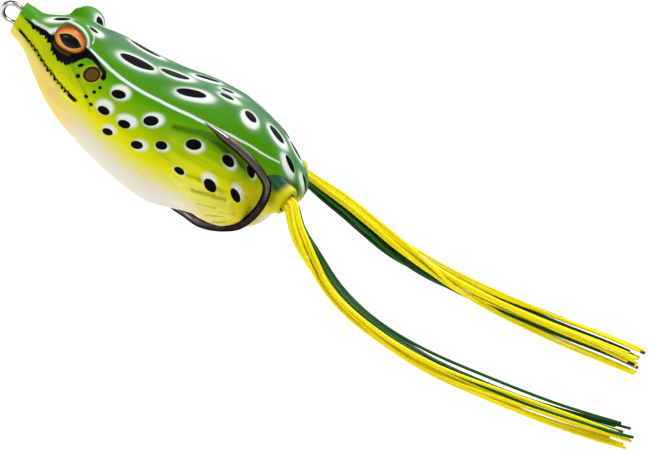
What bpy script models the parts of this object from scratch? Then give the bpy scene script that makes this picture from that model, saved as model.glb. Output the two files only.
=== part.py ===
"""Hollow-body popping frog: a soft floating lure with a double hook and two strand legs.
+X is forward (the nose), +Y is the frog's left, +Z is up. The origin is the centre of the line tie."""
import bmesh
import bpy
import math
from mathutils import Vector

MM = 0.001

# ---- driving sizes, millimetres ----
TIE_AHEAD = 1.6        # line-tie centre in front of the mouth face
TIE_WIRE = 0.8         # line-tie wire diameter
TIE_RADIUS = 1.75      # line-tie loop, to the wire's centre
TIE_SPREAD = 1.45      # half distance of the two wires where they enter the mouth
TIE_CLOSE = 0.9        # half distance of the two wires in the plug and block
BODY_LENGTH = 60.0     # mouth face to tail
BODY_HALF_HEIGHT = 12.8
BODY_HALF_WIDTH = 12.2
WALL = 1.6             # soft skin of the hollow body
LIP = 0.35             # skin at the rim of the cupped mouth
HOOK_WIRE = 1.55       # hook wire diameter
SHANK_HALF = 1.1       # half distance of the two shanks
BUNDLE_RADIUS = 1.4    # strand bundle in its socket
STUB_RADIUS = 2.75     # outside of a leg socket
LEG_DIAMETER = 4.0     # loose strand bundle behind the socket
LEG_GAP = 1.2          # socket face to the start of the loose bundle
EYE_RADII = (2.9, 1.9, 2.3)
BUMP_RADIUS = 3.5      # lid bump round an eye
BLOCK_HALF_WIDTH = 2.95
BLOCK_HALF_HEIGHT = 2.0
CLEAR = 0.3            # clearance between neighbouring pieces
PLUG_CLEAR = 0.35      # clearance of the nose plug and the belly plug
BAND_THICK = 0.8       # rubber bands and sleeves

DRAWN_HALF_HEIGHT, DRAWN_HALF_WIDTH = 12.8, 12.2   # the body that the heights and sides below suit
TALL = BODY_HALF_HEIGHT / DRAWN_HALF_HEIGHT
WIDE = BODY_HALF_WIDTH / DRAWN_HALF_WIDTH

# Outline of the body: (share of length, centre height, half height share, half width share)
SECTIONS = (
    (0.0, -0.2, 0.236, 0.282), (0.025, -0.52, 0.25, 0.327), (0.06, -1.08, 0.283, 0.393),
    (0.117, -1.75, 0.465, 0.508), (0.167, -2.3, 0.61, 0.623), (0.233, -3.35, 0.712, 0.754),
    (0.3, -4, 0.787, 0.844), (0.4, -4.95, 0.863, 0.926), (0.492, -5.4, 0.931, 0.984),
    (0.6, -5.15, 1, 1), (0.7, -4.15, 0.94, 0.951), (0.78, -3.9, 0.854, 0.869),
    (0.872, -3.5, 0.65, 0.705), (0.93, -3.1, 0.475, 0.516), (0.973, -2.75, 0.296, 0.344),
    (0.99, -2.55, 0.179, 0.2), (1, -2.45, 0.048, 0.05),
)
# Route of one hook wire: (share of length, height, half distance from the middle plane)
SHANK_ROUTE = ((0.235, 0.0, 1.1), (0.262, -0.1, 1.1), (0.30, -1.7, 1.1), (0.36, -5.1, 1.1), (0.42, -8.3, 1.1),
               (0.48, -11.3, 1.1), (0.54, -14.0, 1.1), (0.60, -15.7, 1.15), (0.66, -16.5, 1.3),
               (0.717, -16.65, 1.7))
PRONG_ROUTE = ((0.76, -16.5, 2.7), (0.80, -15.4, 4.0), (0.839, -13.5, 5.5), (0.871, -11.0, 7.3),
               (0.890, -7.5, 9.1), (0.896, -3.7, 10.3), (0.886, -0.6, 10.8), (0.858, 1.0, 10.9),
               (0.789, 2.8, 11.0), (0.708, 3.9, 11.2), (0.634, 4.6, 11.3))
# Routes of the loose legs, from their sockets' mouths: millimetres back, out to the left and up
LEFT_ROUTE = ((-3.9, 3.0, -2.2), (-7.6, 4.7, -4.1), (-11.2, 5.7, -5.8), (-14.5, 7.0, -6.8),
              (-18.2, 8.7, -7.4), (-22.3, 10.7, -7.5), (-28.4, 13.3, -7.2), (-36.1, 14.9, -6.6),
              (-45.5, 14.7, -5.7), (-56.5, 13.2, -4.6), (-66.4, 10.6, -3.7), (-72.5, 8.7, -3.1))
RIGHT_ROUTE = ((-4.7, -1.7, -1.0), (-9.9, -1.7, -1.6), (-15.4, -1.5, -2.5), (-21.3, -2.3, -3.7),
               (-29.0, -3.9, -4.8), (-36.5, -5.1, -5.3), (-45.9, -6.7, -5.2), (-55.2, -8.3, -4.7),
               (-65.9, -9.7, -3.7), (-74.2, -10.2, -2.9))
SOCKET_IN = (0.80, 3.4 * WIDE, -2.0 * TALL)     # inner end of a leg socket: share of length, side, height
SOCKET_OUT = (0.962, 7.3 * WIDE, -2.6 * TALL)   # its mouth
EYE_AT = (0.175, 6.0 * WIDE, 3.7 * TALL)
BUMP_AT = (0.181, 4.4 * WIDE, 2.8 * TALL)


def clear_scene():
    for item in list(bpy.data.objects):
        bpy.data.objects.remove(item, do_unlink=True)


def colour(name, rgb, metallic=0.0, roughness=0.4):
    mat = bpy.data.materials.new(name)
    mat.use_nodes = True
    node = mat.node_tree.nodes["Principled BSDF"]
    node.inputs["Base Color"].default_value = (*rgb, 1.0)
    node.inputs["Metallic"].default_value = metallic
    node.inputs["Roughness"].default_value = roughness
    return mat


def at(share):
    """World x, in millimetres, at a share of the body's length."""
    return -(TIE_AHEAD + share * BODY_LENGTH)


def section(share):
    """Centre height, half height and half width of the body, by a smooth curve through SECTIONS."""
    rows = SECTIONS
    share = min(max(share, 0.0), 1.0)
    i = 0
    while i < len(rows) - 2 and rows[i + 1][0] < share:
        i += 1
    a, b = rows[i], rows[i + 1]
    before, after = rows[max(i - 1, 0)], rows[min(i + 2, len(rows) - 1)]
    gap = b[0] - a[0]
    t = (share - a[0]) / gap
    out = []
    for k in (1, 2, 3):
        m0 = (b[k] - before[k]) / (b[0] - before[0]) * gap
        m1 = (after[k] - a[k]) / (after[0] - a[0]) * gap
        out.append((2 * t ** 3 - 3 * t * t + 1) * a[k] + (t ** 3 - 2 * t * t + t) * m0
                   + (-2 * t ** 3 + 3 * t * t) * b[k] + (t ** 3 - t * t) * m1)
    return out[0] * TALL, out[1] * BODY_HALF_HEIGHT, out[2] * BODY_HALF_WIDTH


def wall_at(share):
    """Skin thickness: the lip's at the mouth, the full wall from a tenth of the length on."""
    t = min(share / 0.1, 1.0)
    return LIP + (WALL - LIP) * t


def smooth_route(points, step):
    """Points about one step apart on a smooth curve through the route points."""
    pts = [Vector(p) for p in points]
    out = []
    for i in range(len(pts) - 1):
        p0, p1, p2 = pts[max(i - 1, 0)], pts[i], pts[i + 1]
        p3 = pts[min(i + 2, len(pts) - 1)]
        count = max(1, round((p2 - p1).length / step))
        for j in range(count):
            t = j / count
            out.append(0.5 * (2 * p1 + (p2 - p0) * t + (2 * p0 - 5 * p1 + 4 * p2 - p3) * t * t
                              + (3 * p1 - p0 - 3 * p2 + p3) * t ** 3))
    out.append(pts[-1])
    return out


def finish(name, bm, mat, smooth=True):
    bmesh.ops.recalc_face_normals(bm, faces=bm.faces)
    mesh = bpy.data.meshes.new(name)
    bm.to_mesh(mesh)
    bm.free()
    obj = bpy.data.objects.new(name, mesh)
    bpy.context.scene.collection.objects.link(obj)
    if mat:
        mesh.materials.append(mat)
    for face in mesh.polygons:
        face.use_smooth = smooth
    return obj


def loft(name, rings, mat, smooth=True):
    """A closed solid through rings of equal point counts, capped at both ends; millimetres in."""
    bm = bmesh.new()
    rows = [[bm.verts.new(Vector(p) * MM) for p in ring] for ring in rings]
    n = len(rows[0])
    for a, b in zip(rows, rows[1:]):
        for i in range(n):
            bm.faces.new((a[i], a[(i + 1) % n], b[(i + 1) % n], b[i]))
    for ring in (rows[0], rows[-1]):
        centre = bm.verts.new(sum((v.co for v in ring), Vector()) / n)
        for i in range(n):
            bm.faces.new((ring[i], ring[(i + 1) % n], centre))
    return finish(name, bm, mat, smooth)


def oval_ring(x, y, z, half_y, half_z, sides):
    return [(x, y + half_y * math.cos(2 * math.pi * i / sides),
             z + half_z * math.sin(2 * math.pi * i / sides)) for i in range(sides)]


def body_rings(shares, inset, sides):
    rings = []
    for share in shares:
        c, h, w = section(share)
        d = inset(share)
        rings.append(oval_ring(at(share), 0, c, max(w - d, 0.3), max(h - d, 0.3), sides))
    return rings


def tube(name, route, radii, mat, sides=12):
    """A round tube along a route, with a radius at each point; the frame is carried along."""
    pts = [Vector(p) for p in route]
    tangents = []
    for i in range(len(pts)):
        tangents.append((pts[min(i + 1, len(pts) - 1)] - pts[max(i - 1, 0)]).normalized())
    side = tangents[0].orthogonal().normalized()
    rings = []
    for p, t, r in zip(pts, tangents, radii):
        side = (side - t * side.dot(t)).normalized()
        other = t.cross(side)
        rings.append([p + (side * math.cos(2 * math.pi * k / sides)
                           + other * math.sin(2 * math.pi * k / sides)) * r for k in range(sides)])
    return loft(name, rings, mat)


def ellipsoid(name, centre, radii, mat, segments=24, rings=14):
    bm = bmesh.new()
    bmesh.ops.create_uvsphere(bm, u_segments=segments, v_segments=rings, radius=1.0)
    for v in bm.verts:
        v.co = Vector([(centre[k] + v.co[k] * radii[k]) * MM for k in range(3)])
    return finish(name, bm, mat)


def box(name, low, high, mat, bevel=0.0):
    bm = bmesh.new()
    bmesh.ops.create_cube(bm, size=1.0)
    for v in bm.verts:
        v.co = Vector([(low[k] + (v.co[k] + 0.5) * (high[k] - low[k])) * MM for k in range(3)])
    if bevel:
        bmesh.ops.bevel(bm, geom=bm.edges[:], offset=bevel * MM, segments=2, affect="EDGES",
                        profile=0.5)
    return finish(name, bm, mat, smooth=False)


def triangles(obj):
    bm = bmesh.new()
    bm.from_mesh(obj.data)
    bmesh.ops.triangulate(bm, faces=bm.faces)
    bm.to_mesh(obj.data)
    bm.free()


def combine(obj, tool, operation):
    """Apply one exact Boolean, on triangles so that every face is flat, and drop the tool."""
    triangles(obj)
    triangles(tool)
    mod = obj.modifiers.new("cut", "BOOLEAN")
    mod.operation = operation
    mod.solver = "EXACT"
    mod.object = tool
    bpy.context.view_layer.update()
    done = obj.evaluated_get(bpy.context.evaluated_depsgraph_get())
    mesh = bpy.data.meshes.new_from_object(done)
    obj.modifiers.clear()
    old = obj.data
    obj.data = mesh
    bpy.data.meshes.remove(old)
    bpy.data.objects.remove(tool, do_unlink=True)


def weld(obj):
    bm = bmesh.new()
    bm.from_mesh(obj.data)
    bmesh.ops.remove_doubles(bm, verts=bm.verts, dist=0.00002)
    bmesh.ops.dissolve_degenerate(bm, dist=0.00001, edges=bm.edges)
    bmesh.ops.triangulate(bm, faces=bm.faces)
    bm.to_mesh(obj.data)
    bm.free()


clear_scene()
SKIN = colour("frog_skin", (0.45, 0.62, 0.05))
EYE = colour("eye_orange", (0.75, 0.30, 0.04), 0.0, 0.15)
STEEL = colour("bright_wire", (0.72, 0.72, 0.74), 1.0, 0.25)
HOOK = colour("black_nickel", (0.10, 0.09, 0.10), 1.0, 0.3)
LEAD = colour("ballast_lead", (0.25, 0.26, 0.28), 1.0, 0.55)
BLOCK = colour("brass_block", (0.60, 0.45, 0.18), 1.0, 0.35)
RUBBER = colour("soft_plug", (0.55, 0.55, 0.40), 0.0, 0.6)
BAND = colour("black_band", (0.03, 0.03, 0.03), 0.0, 0.6)
STRAND = colour("strand_yellow", (0.85, 0.75, 0.02), 0.0, 0.4)

HOOK_R = HOOK_WIRE / 2
TIE_R = TIE_WIRE / 2


def station(p):
    """(share of length, side, height) to world millimetres."""
    return (at(p[0]), p[1], p[2] * TALL)


# ---- the hollow body ----
shares = [0.0, 0.012, 0.03, 0.06, 0.09, 0.12, 0.16, 0.20, 0.25, 0.31, 0.38, 0.45, 0.52, 0.60,
          0.67, 0.73, 0.78, 0.825, 0.865, 0.90, 0.93, 0.955, 0.975, 0.99, 1.0]
body = loft("body_shell", body_rings(shares, lambda s: 0.0, 28), SKIN)
in_a = {}
for side, word in ((1, "left"), (-1, "right")):
    bump = ellipsoid("bump_" + word, (at(BUMP_AT[0]), side * BUMP_AT[1], BUMP_AT[2]),
                     (BUMP_RADIUS * 1.1, BUMP_RADIUS, BUMP_RADIUS), SKIN, 20, 12)
    combine(body, bump, "UNION")
    a = Vector((at(SOCKET_IN[0]), side * SOCKET_IN[1], SOCKET_IN[2]))
    b = Vector((at(SOCKET_OUT[0]), side * SOCKET_OUT[1], SOCKET_OUT[2]))
    in_a[side] = (a, b, (b - a).normalized())
    stub_route = [a.lerp(b, t) for t in (0.0, 0.35, 0.7, 0.93, 1.0)]
    stub_radii = [STUB_RADIUS * k for k in (1.1, 1.05, 1.0, 0.98, 0.86)]
    combine(body, tube("stub_" + word, stub_route, stub_radii, SKIN, 20), "UNION")
cavity_shares = [-0.02] + [0.012, 0.03, 0.06, 0.10, 0.14, 0.19, 0.25, 0.32, 0.40, 0.50, 0.60,
                           0.68, 0.75, 0.81, 0.86, 0.90, 0.93, 0.95]
cavity = []
for s in cavity_shares:
    c, h, w = section(max(s, 0.0))
    d = wall_at(max(s, 0.0))
    cavity.append(oval_ring(at(s), 0, c, w - d, h - d, 24))
combine(body, loft("cavity", cavity, SKIN), "DIFFERENCE")
for side, word in ((1, "left"), (-1, "right")):
    a, b, along = in_a[side]
    bore_route = [a - along * 2.0, a.lerp(b, 0.5), b + along * 1.5]
    combine(body, tube("bore_" + word, bore_route, [BUNDLE_RADIUS + CLEAR] * 3, SKIN, 16),
            "DIFFERENCE")
    combine(body, ellipsoid("pocket_" + word, (at(EYE_AT[0]), side * EYE_AT[1], EYE_AT[2]),
                            [r + CLEAR for r in EYE_RADII], SKIN, 20, 12), "DIFFERENCE")
# The slit in the belly that the two shanks leave through.
SLIT_FRONT, SLIT_BACK = 0.50, 0.735
SLIT_HALF = 2.9
combine(body, box("slit", (at(SLIT_BACK), -SLIT_HALF, -1.5 * BODY_HALF_HEIGHT),
                  (at(SLIT_FRONT), SLIT_HALF, -0.83 * BODY_HALF_HEIGHT), SKIN), "DIFFERENCE")
weld(body)
for face in body.data.polygons:
    face.use_smooth = True

# ---- eyes ----
for side, word in ((1, "left"), (-1, "right")):
    ellipsoid(word + "_eye", (at(EYE_AT[0]), side * EYE_AT[1], EYE_AT[2]), EYE_RADII, EYE, 20, 12)

# ---- line tie: one wire, a loop in front of the mouth and two ends in the block ----
BLOCK_FRONT, BLOCK_BACK = 0.133, 0.258
tie_end = at(BLOCK_FRONT) - 3.0
loop = []
for k in range(15):
    turn = math.radians(-90 + 180 * k / 14)
    loop.append((TIE_RADIUS * math.cos(turn), 0, TIE_RADIUS * math.sin(turn)))
low = [(tie_end, 0, -TIE_CLOSE), (at(0.10), 0, -TIE_CLOSE), (at(0.045), 0, -TIE_CLOSE),
       (at(0.018), 0, -TIE_CLOSE * 1.25), (at(0.0), 0, -TIE_SPREAD), (-0.7, 0, -TIE_RADIUS * 0.97)]
route = low + loop + [(p[0], p[1], -p[2]) for p in reversed(low)]
route = smooth_route(route, 0.9)
tube("line_tie", route, [TIE_R] * len(route), STEEL, 12)

# ---- nose plug: closes the passage behind the cupped mouth round the two wires ----
PLUG_FRONT, PLUG_BACK = 0.05, 0.105
plug_shares = [PLUG_FRONT + (PLUG_BACK - PLUG_FRONT) * k / 4 for k in range(5)]
plug = loft("nose_plug", body_rings(plug_shares, lambda s: wall_at(s) + PLUG_CLEAR, 24), RUBBER)
for sign in (1, -1):
    hole = [(at(PLUG_FRONT) + 2.0, 0, sign * TIE_CLOSE), (at(PLUG_BACK) - 2.0, 0, sign * TIE_CLOSE)]
    combine(plug, tube("hole", hole, [TIE_R + CLEAR] * 2, RUBBER, 12), "DIFFERENCE")
weld(plug)

# ---- tie block: joins the line tie's wires to the bow of the hook ----
block = box("tie_block", (at(BLOCK_BACK), -BLOCK_HALF_WIDTH, -BLOCK_HALF_HEIGHT),
            (at(BLOCK_FRONT), BLOCK_HALF_WIDTH, BLOCK_HALF_HEIGHT), BLOCK, 0.3)
for sign in (1, -1):
    hole = [(at(BLOCK_FRONT) + 1.0, 0, sign * TIE_CLOSE), (tie_end - CLEAR, 0, sign * TIE_CLOSE)]
    combine(block, tube("hole", hole, [TIE_R + CLEAR] * 2, BLOCK, 12), "DIFFERENCE")
BOW_FRONT = tie_end - CLEAR - 0.5
pocket_side = SHANK_HALF + HOOK_R + CLEAR
combine(block, box("bow_pocket", (at(BLOCK_BACK) - 1.0, -pocket_side, -HOOK_R - CLEAR - 0.15),
                   (BOW_FRONT, pocket_side, HOOK_R + CLEAR), BLOCK), "DIFFERENCE")
weld(block)

# ---- double hook: one wire, bow in the block, two shanks, two bends and points ----
bow_x = BOW_FRONT - CLEAR - HOOK_R - SHANK_HALF
half = [station((s, y, z)) for s, z, y in SHANK_ROUTE]
half += [station((s, y * WIDE, z)) for s, z, y in PRONG_ROUTE]
bow = []
for k in range(1, 6):
    turn = math.radians(180 * k / 6)
    bow.append((bow_x + SHANK_HALF * math.sin(turn), SHANK_HALF * math.cos(turn), 0))
left_wire = list(reversed(half)) + [(bow_x, SHANK_HALF, 0)]
right_wire = [(bow_x, -SHANK_HALF, 0)] + [(p[0], -p[1], p[2]) for p in half]
wire = smooth_route(left_wire + bow + right_wire, 1.7)
reach = [0.0]
for p, q in zip(wire, wire[1:]):
    reach.append(reach[-1] + (q - p).length)
POINT_LENGTH = 4.5     # taper of a hook point
hook_radii = []
for d in reach:
    t = min(min(d, reach[-1] - d) / POINT_LENGTH, 1.0)
    hook_radii.append(HOOK_R * (0.12 + 0.88 * t ** 0.8))
tube("double_hook", wire, hook_radii, HOOK, 10)


def shank_part(first, last, grow, sign):
    """The route of one shank between two shares of the length, for pieces that it runs through."""
    line = [p for p in smooth_route(half, 0.8) if at(last) <= p[0] <= at(first)]
    return [Vector((p[0], sign * p[1], p[2])) for p in line]


# ---- sleeve over both shanks behind the block ----
def two_shank_piece(name, first, last, margin_y, margin_z, mat, round_ends):
    """A block on both shanks, following them, with a hole for each."""
    line = shank_part(first, last, 0, 1)
    rings = []
    for i, p in enumerate(line):
        t = (line[min(i + 1, len(line) - 1)] - line[max(i - 1, 0)])
        t = Vector((t.x, 0, t.z)).normalized()
        up = Vector((t.z, 0, -t.x))
        k = i / (len(line) - 1)
        swell = math.sin(math.pi * (0.12 + 0.76 * k)) ** 0.5 if round_ends else 1.0
        half_y = (SHANK_HALF + HOOK_R + CLEAR) + margin_y * swell
        half_z = (HOOK_R + CLEAR) + margin_z * swell
        ring = []
        for a in range(20):
            ang = 2 * math.pi * a / 20
            cy, sz = math.cos(ang), math.sin(ang)
            ring.append(Vector((p[0], 0, p[2])) + up * half_z * abs(sz) ** 0.7 * (1 if sz > 0 else -1)
                        + Vector((0, 1, 0)) * half_y * abs(cy) ** 0.7 * (1 if cy > 0 else -1))
        rings.append(ring)
    piece = loft(name, rings, mat)
    for sign in (1, -1):
        line = shank_part(first - 0.03, last + 0.03, 0, sign)
        combine(piece, tube("hole", line, [HOOK_R + CLEAR] * len(line), mat, 12), "DIFFERENCE")
    weld(piece)
    return piece


two_shank_piece("shank_sleeve", 0.30, 0.355, 0.9, 0.9, BAND, False)
two_shank_piece("ballast_weight", 0.375, 0.475, 2.2, 2.0, LEAD, True)
two_shank_piece("belly_plug", SLIT_FRONT + 0.012, 0.60, 0.3, 0.7, RUBBER, False)

# ---- legs: gripped strands inside, bands at the sockets, loose bundles outside ----
left_in, left_out, left_dir = in_a[1]
core_route = [left_out - left_dir * 0.2, left_in.lerp(left_out, 0.5), left_in - left_dir * 1.0]
core_route += [Vector((core_route[-1].x + 1.9, 1.3, SOCKET_IN[2]))]
core_route += [Vector((core_route[-1].x + 0.5, 0.0, SOCKET_IN[2]))]
core_route += [Vector((p.x, -p.y, p.z)) for p in reversed(core_route[:-1])]
core = smooth_route(core_route, 1.0)
tube("skirt_core", core, [BUNDLE_RADIUS] * len(core), STRAND, 12)
for side, word in ((1, "left"), (-1, "right")):
    a, b, along = in_a[side]
    centre = a - along * 0.6
    ends = [centre - along * 0.9, centre + along * 0.9]
    band = tube(word + "_leg_band", ends, [BUNDLE_RADIUS + CLEAR + BAND_THICK] * 2, BAND, 20)
    inner = [centre - along * 2.0, centre + along * 2.0]
    combine(band, tube("hole", inner, [BUNDLE_RADIUS + CLEAR] * 2, BAND, 16), "DIFFERENCE")
    weld(band)
    route = [b + along * LEG_GAP] + [b + Vector(p) for p in (LEFT_ROUTE if side > 0 else RIGHT_ROUTE)]
    pts = smooth_route(route, 3.0)
    curve = bpy.data.curves.new(word + "_leg", "CURVE")
    curve.dimensions = "3D"
    curve.bevel_depth = LEG_DIAMETER / 2 * MM
    curve.bevel_resolution = 2
    curve.use_fill_caps = True
    spline = curve.splines.new("POLY")
    spline.points.add(len(pts) - 1)
    for point, p in zip(spline.points, pts):
        point.co = (p.x * MM, p.y * MM, p.z * MM, 1.0)
    curve.materials.append(STRAND)
    leg = bpy.data.objects.new(word + "_leg", curve)
    bpy.context.scene.collection.objects.link(leg)
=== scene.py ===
# %% [markdown]
# # A hollow popping frog
# This lesson dresses a small fishing lure: a soft painted body, glossy eyes, a black hook and two legs of
# rubber strands. The solids are already made and joined; here each visible piece gets its real surface.
# Lengths are worked out in millimetres, as a lure maker would, and turned into metres at the last moment.

# %% Load the solids as a fixed frame
import math
import bpy
import numpy as np
from mathutils import Matrix


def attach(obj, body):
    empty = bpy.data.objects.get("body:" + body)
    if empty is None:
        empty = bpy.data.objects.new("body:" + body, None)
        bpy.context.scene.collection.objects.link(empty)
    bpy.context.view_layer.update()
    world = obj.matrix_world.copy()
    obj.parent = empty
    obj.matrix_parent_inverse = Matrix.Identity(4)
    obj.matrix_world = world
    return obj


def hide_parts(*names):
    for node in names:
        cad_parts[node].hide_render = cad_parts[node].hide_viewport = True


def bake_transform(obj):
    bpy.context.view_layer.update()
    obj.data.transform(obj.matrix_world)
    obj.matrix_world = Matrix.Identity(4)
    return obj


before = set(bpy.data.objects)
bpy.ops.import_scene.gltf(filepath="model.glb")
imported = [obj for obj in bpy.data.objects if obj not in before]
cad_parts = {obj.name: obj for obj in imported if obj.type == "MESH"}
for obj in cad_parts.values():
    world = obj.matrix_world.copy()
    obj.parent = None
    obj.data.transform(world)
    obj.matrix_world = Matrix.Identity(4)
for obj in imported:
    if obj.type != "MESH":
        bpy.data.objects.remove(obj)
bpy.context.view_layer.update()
MM = 0.001

# %% [markdown]
# ## The camera and the light
# A long lens looks at the small lure from less than half a metre, so its far end hardly shrinks. It looks down
# a little on the frog's left side, and the camera is rolled about its view axis so that the frog climbs to the
# upper left. Big soft boxes and a bright world light it evenly.

# %% The camera
AZIMUTH, ELEVATION, ROLL = (math.radians(a) for a in (176.6, 22.9, 31.0))
DISTANCE = 450.0
LENS = 138.0
AIM = np.array([-67.6, 0.6, -5.5])

toward_camera = np.array([math.sin(AZIMUTH) * math.cos(ELEVATION),
                          -math.cos(AZIMUTH) * math.cos(ELEVATION), math.sin(ELEVATION)])
level = np.array([math.cos(AZIMUTH), math.sin(AZIMUTH), 0.0])
over = np.cross(toward_camera, level)
view_right = level * math.cos(ROLL) + over * math.sin(ROLL)
view_up = np.cross(toward_camera, view_right)


def turned(right, up, back):
    """A 4x4 matrix whose columns are the three directions: it turns a camera or a lamp away from back."""
    return Matrix([[right[k], up[k], back[k], 0.0] for k in range(3)] + [[0, 0, 0, 1]])


camera = bpy.data.objects.new("camera", bpy.data.cameras.new("camera"))
camera.data.lens = LENS
camera.data.clip_start, camera.data.clip_end = 0.01, 20.0
camera.matrix_world = turned(view_right, view_up, toward_camera)
camera.location = (AIM + toward_camera * DISTANCE) * MM
bpy.context.scene.collection.objects.link(camera)
bpy.context.scene.camera = camera
print("camera at", np.round(AIM + toward_camera * DISTANCE), "mm")

# %% Soft studio light
def lamp(name, place, target, size, power):
    """A square soft box at place, in millimetres, that faces target."""
    back = np.subtract(place, target).astype(float)
    back /= np.linalg.norm(back)
    right = np.cross((0.0, 0.0, 1.0), back)
    right = right / np.linalg.norm(right) if np.linalg.norm(right) > 1e-3 else np.array([1.0, 0.0, 0.0])
    data = bpy.data.lights.new(name, "AREA")
    data.shape, data.size, data.energy = "SQUARE", size * MM, power
    obj = bpy.data.objects.new(name, data)
    obj.matrix_world = turned(right, np.cross(back, right), back)
    obj.location = [c * MM for c in place]
    bpy.context.scene.collection.objects.link(obj)


MIDDLE = (-60.0, 0.0, -5.0)
lamp("soft_top", (-20, 60, 620), MIDDLE, 300, 2.5)
lamp("soft_front_left", (260, 420, 160), MIDDLE, 200, 0.7)
lamp("soft_tail", (-460, 240, 160), MIDDLE, 200, 0.15)
lamp("soft_far", (-60, -520, 260), MIDDLE, 300, 0.1)
lamp("backdrop_top", (-200, -1100, 900), (-200, -1100, -120), 900, 20.0)
world = bpy.data.worlds.new("studio")
world.use_nodes = True
world.node_tree.nodes["Background"].inputs["Color"].default_value = (1.0, 1.0, 1.0, 1.0)
world.node_tree.nodes["Background"].inputs["Strength"].default_value = 0.30
bpy.context.scene.world = world
bpy.context.scene.view_settings.view_transform = "Standard"   # plain colours, as on a product sheet

# %% [markdown]
# ## Two small tools
# Shader maths reads best as maths. `Field` stands for a value or colour on the surface, and its operators add
# Math nodes. `Finish` is one material: it makes any node in one way, and feeds the main shader.

# %% Field: a value on the surface, with ordinary operators
class Field:
    """Wraps a node's output socket; each sum, difference or product adds a Math node."""

    def __init__(self, finish, socket):
        self.finish, self.socket = finish, socket

    def math(self, operation, *others):
        return self.finish.node("ShaderNodeMath", {"operation": operation}, [self, *others])

    def __add__(self, other): return self.math("ADD", other)
    def __radd__(self, other): return self.math("ADD", other)
    def __sub__(self, other): return self.math("SUBTRACT", other)
    def __rsub__(self, other): return (self * -1.0).math("ADD", other)
    def __mul__(self, other): return self.math("MULTIPLY", other)
    def __rmul__(self, other): return self.math("MULTIPLY", other)
    def __truediv__(self, other): return self.math("DIVIDE", other)

    def step(self, low, high, start=0.0, end=1.0):
        """start below low, end above high, and a smooth S between."""
        return self.finish.node("ShaderNodeMapRange", {"interpolation_type": "SMOOTHSTEP"},
                                {"Value": self, "From Min": low, "From Max": high,
                                 "To Min": start, "To Max": end})


class Finish:
    """A procedural material round one Principled shader."""

    def __init__(self, name, **constants):
        self.material = bpy.data.materials.new(name)
        self.material.use_nodes = True
        self.tree = self.material.node_tree
        self.shader = self.tree.nodes["Principled BSDF"]
        self.set(**constants)

    def set(self, **sockets):
        """Sets the shader's sockets; base_color is Base Color, coat_weight is Coat Weight, and so on."""
        for key, value in sockets.items():
            words = key.replace("_", " ").title().replace("Ior", "IOR")
            self.feed(self.shader.inputs[words], value)
        return self

    def feed(self, socket, value):
        if isinstance(value, Field):
            self.tree.links.new(value.socket, socket)
        elif isinstance(value, (tuple, list)) and len(value) == 3 and len(socket.default_value) == 4:
            socket.default_value = (*value, 1.0)
        else:
            socket.default_value = value

    def node(self, kind, settings, inputs, output=0):
        made = self.tree.nodes.new(kind)
        for key, value in settings.items():
            if key == "stops":
                ramp = made.color_ramp
                while len(ramp.elements) < len(value):
                    ramp.elements.new(0.5)
                for element, (place, rgb) in zip(ramp.elements, value):
                    element.position, element.color = place, (*rgb, 1.0)
            else:
                setattr(made, key, value)
        pairs = inputs.items() if isinstance(inputs, dict) else enumerate(inputs)
        for key, value in pairs:
            self.feed(made.inputs[key], value)
        return Field(self, made.outputs[output])

    def place(self):
        """Object coordinates, in metres: the piece's own place, as every piece sits at the origin."""
        return self.node("ShaderNodeTexCoord", {}, {}, "Object")

    def along(self, axis):
        """One coordinate of the place, in millimetres."""
        split = self.node("ShaderNodeSeparateXYZ", {}, [self.place()], axis)
        return split * 1000.0

    def value(self, attribute):
        """A number kept on each point of the mesh."""
        return self.node("ShaderNodeAttribute", {"attribute_name": attribute}, {}, "Fac")

    def noise(self, size, detail=3.0, rough=0.5):
        """Noise whose blobs are about size millimetres, from 0 to 1."""
        return self.node("ShaderNodeTexNoise", {},
                         {"Vector": self.place(), "Scale": 1000.0 / size, "Detail": detail,
                          "Roughness": rough}, 0)

    def grain(self, size, stretch, detail=3.0):
        """Noise drawn out along the body: size millimetres across and stretch times as long."""
        drawn = self.node("ShaderNodeVectorMath", {"operation": "MULTIPLY"},
                          [self.place(), (1.0 / stretch, 1.0, 1.0)])
        return self.node("ShaderNodeTexNoise", {},
                         {"Vector": drawn, "Scale": 1000.0 / size, "Detail": detail}, 0)

    def mix(self, low, high, factor):
        """The colour low where factor is 0, high where it is 1."""
        return self.node("ShaderNodeMix", {"data_type": "RGBA"}, {0: factor, 6: low, 7: high}, 2)

    def ramp(self, value, stops):
        return self.node("ShaderNodeValToRGB", {"stops": stops}, [value])

    def bump(self, height, depth, strength=1.0):
        """Normals from a height field; depth is in millimetres."""
        return self.node("ShaderNodeBump", {}, {"Height": height, "Distance": depth * MM,
                                                "Strength": strength})


print("tools ready")

# %% [markdown]
# ## Surfaces as arrays
# Every new piece is a grid of points: one direction runs round the piece and the other along it. One function
# turns such a grid into a mesh, closes its ends with a fan round a pole, and makes the faces point outwards.

# %% From points and faces to an object, and from a grid to its faces
def made_of(name, points, faces, marks, material):
    """A smooth mesh object from points in millimetres; marks are numbers kept on its points."""
    mesh = bpy.data.meshes.new(name)
    mesh.from_pydata(points * MM, [], faces)
    mesh.polygons.foreach_set("use_smooth", np.ones(len(mesh.polygons), dtype=bool))
    for key, values in marks.items():
        mesh.attributes.new(key, "FLOAT", "POINT").data.foreach_set("value", values.astype(np.float32))
    mesh.update()
    obj = bpy.data.objects.new(name, mesh)
    bpy.context.scene.collection.objects.link(obj)
    mesh.materials.append(material)
    return obj


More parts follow.
